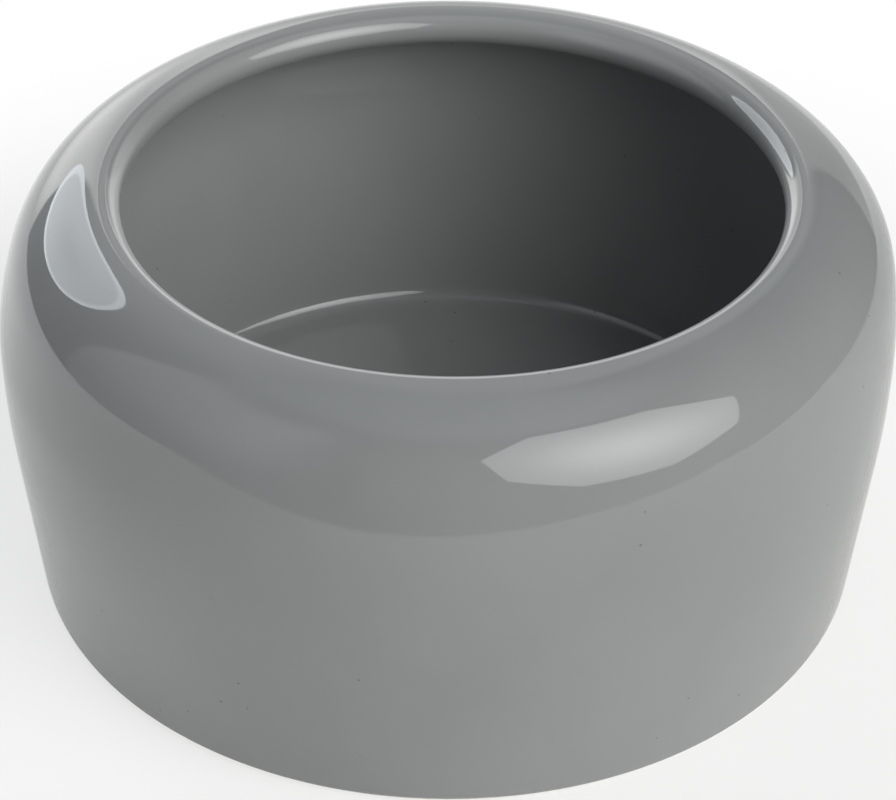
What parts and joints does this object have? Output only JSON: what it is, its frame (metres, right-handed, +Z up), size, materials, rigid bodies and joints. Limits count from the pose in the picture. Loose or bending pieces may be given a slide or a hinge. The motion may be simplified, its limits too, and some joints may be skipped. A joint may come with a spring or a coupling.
{
  "type": "small animal bowl",
  "caption": "Low round feeding bowl in glazed ceramic, with a bulging wall that turns in over the hollow and ends in a round lip.",
  "frame": {"origin": "middle of the base, on the surface that the bowl stands on", "axes": "+Z up along the axis of revolution, out of the mouth; X and Y are alike"},
  "size_m": [0.13, 0.13, 0.063],
  "materials": {
    "glaze": "Smooth, glossy mid-grey glaze over the whole piece, wiped off the flat ring that it stands on."
  },
  "bodies": {
    "root": {"bowl": "glaze"}
  },
  "joints": []
}
